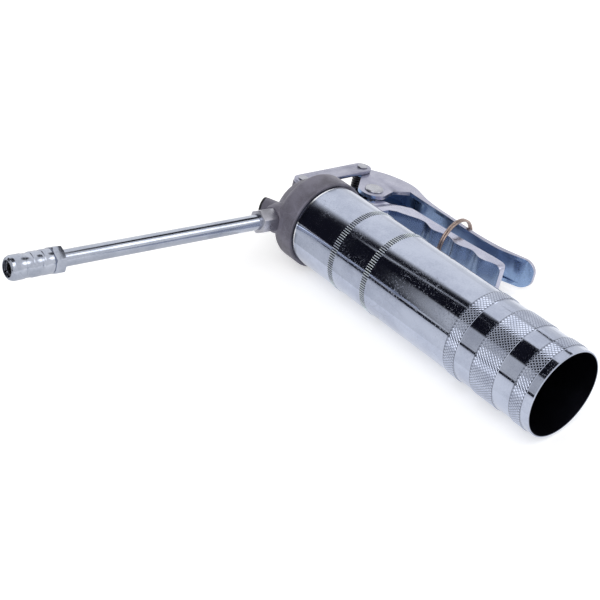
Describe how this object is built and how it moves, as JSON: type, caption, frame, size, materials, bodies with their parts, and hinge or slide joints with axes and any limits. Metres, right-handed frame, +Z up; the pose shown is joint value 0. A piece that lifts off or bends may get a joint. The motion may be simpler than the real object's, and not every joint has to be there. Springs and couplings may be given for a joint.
{
  "type": "lever grease applicator",
  "caption": "One-hand lever grease applicator: a cartridge tube with a pump head across it, a sheet lever over a finger-grooved handle, and a straight pipe with a nipple coupler.",
  "frame": {"origin": "middle of the bounding box in plan, at the height of the surface it lies on", "axes": "+X along the barrel from the head to the open end, +Y from the coupler's mouth towards the lever, +Z up from the surface it lies on"},
  "size_m": [0.2574, 0.3071, 0.0777],
  "materials": {
    "barrel_tube": "bright zinc plate",
    "head_casting": "matt casting",
    "cartridge_gasket": "matt",
    "vent_plug": "blackened",
    "plunger": "ground",
    "plunger_gland": "satin",
    "plunger_seal": "matt",
    "outlet_valve_ball": "polished",
    "outlet_valve_spring": "drawn wire",
    "pipe_locknut": "zinc plate",
    "delivery_pipe": "bright",
    "coupler_base": "bright",
    "coupler_sleeve": "bright",
    "coupler_jaws": "hardened",
    "coupler_seal": "matt",
    "coupler_spring": "drawn wire",
    "lever": "satin plate",
    "link_plate_near": "satin plate",
    "link_plate_far": "satin plate",
    "link_head_pin": "satin",
    "link_lever_pin": "satin",
    "plunger_pin": "satin",
    "plunger_pin_clip": "spring steel",
    "return_spring": "blackened wire",
    "fixed_handle": "satin plate",
    "handle_rivets": "satin",
    "lock_ring": "browned wire"
  },
  "bodies": {
    "root": {"barrel_tube": "barrel_tube", "head_casting": "head_casting", "cartridge_gasket": "cartridge_gasket", "vent_plug": "vent_plug", "plunger_gland": "plunger_gland", "plunger_seal": "plunger_seal", "outlet_valve_spring": "outlet_valve_spring", "pipe_locknut": "pipe_locknut", "delivery_pipe": "delivery_pipe", "coupler_base": "coupler_base", "coupler_sleeve": "coupler_sleeve", "coupler_spring": "coupler_spring", "fixed_handle": "fixed_handle", "handle_rivets": "handle_rivets", "lock_ring": "lock_ring", "link_head_pin": "link_head_pin"},
    "link": {"link_plate_near": "link_plate_near", "link_plate_far": "link_plate_far", "link_lever_pin": "link_lever_pin", "return_spring": "return_spring"},
    "lever": {"lever": "lever", "plunger_pin": "plunger_pin", "plunger_pin_clip": "plunger_pin_clip"},
    "plunger": {"plunger": "plunger"},
    "jaws": {"coupler_jaws": "coupler_jaws", "coupler_seal": "coupler_seal"},
    "valve_ball": {"outlet_valve_ball": "outlet_valve_ball"}
  },
  "joints": [
    {"name": "link_swing", "type": "hinge", "parent": "root", "child": "link", "pos_m": [-0.1198, 0.0754, 0.02744], "axis": [0, 0.187, 0.9824], "range_deg": [-1.4, 0]},
    {"name": "lever_pivot", "type": "hinge", "parent": "link", "child": "lever", "pos_m": [-0.1225, 0.13051, 0.01695], "axis": [0, 0.187, 0.9824], "range_deg": [-4.1, 0], "stiffness_Nm_per_rad": 0.4, "springref_deg": 85.94, "deforming": ["return_spring"]},
    {"name": "plunger_slide", "type": "slide", "parent": "root", "child": "plunger", "axis": [0, 0.9824, -0.187], "range_m": [-0.0025, 0]},
    {"name": "jaw_slide", "type": "slide", "parent": "root", "child": "jaws", "axis": [0, 0.9824, -0.187], "range_m": [0, 0.0012], "stiffness_N_per_m": 300, "springref_m": -0.005, "deforming": ["coupler_spring"]},
    {"name": "ball_lift", "type": "slide", "parent": "root", "child": "valve_ball", "axis": [0, -0.9824, 0.187], "range_m": [0, 0.0008], "stiffness_N_per_m": 50, "springref_m": -0.002, "deforming": ["outlet_valve_spring"]}
  ],
  "couplings": [
    {"joint": "link_swing", "follows": "lever_pivot", "ratio": 0.305},
    {"joint": "plunger_slide", "follows": "lever_pivot", "m_per_rad": 0.0337}
  ]
}
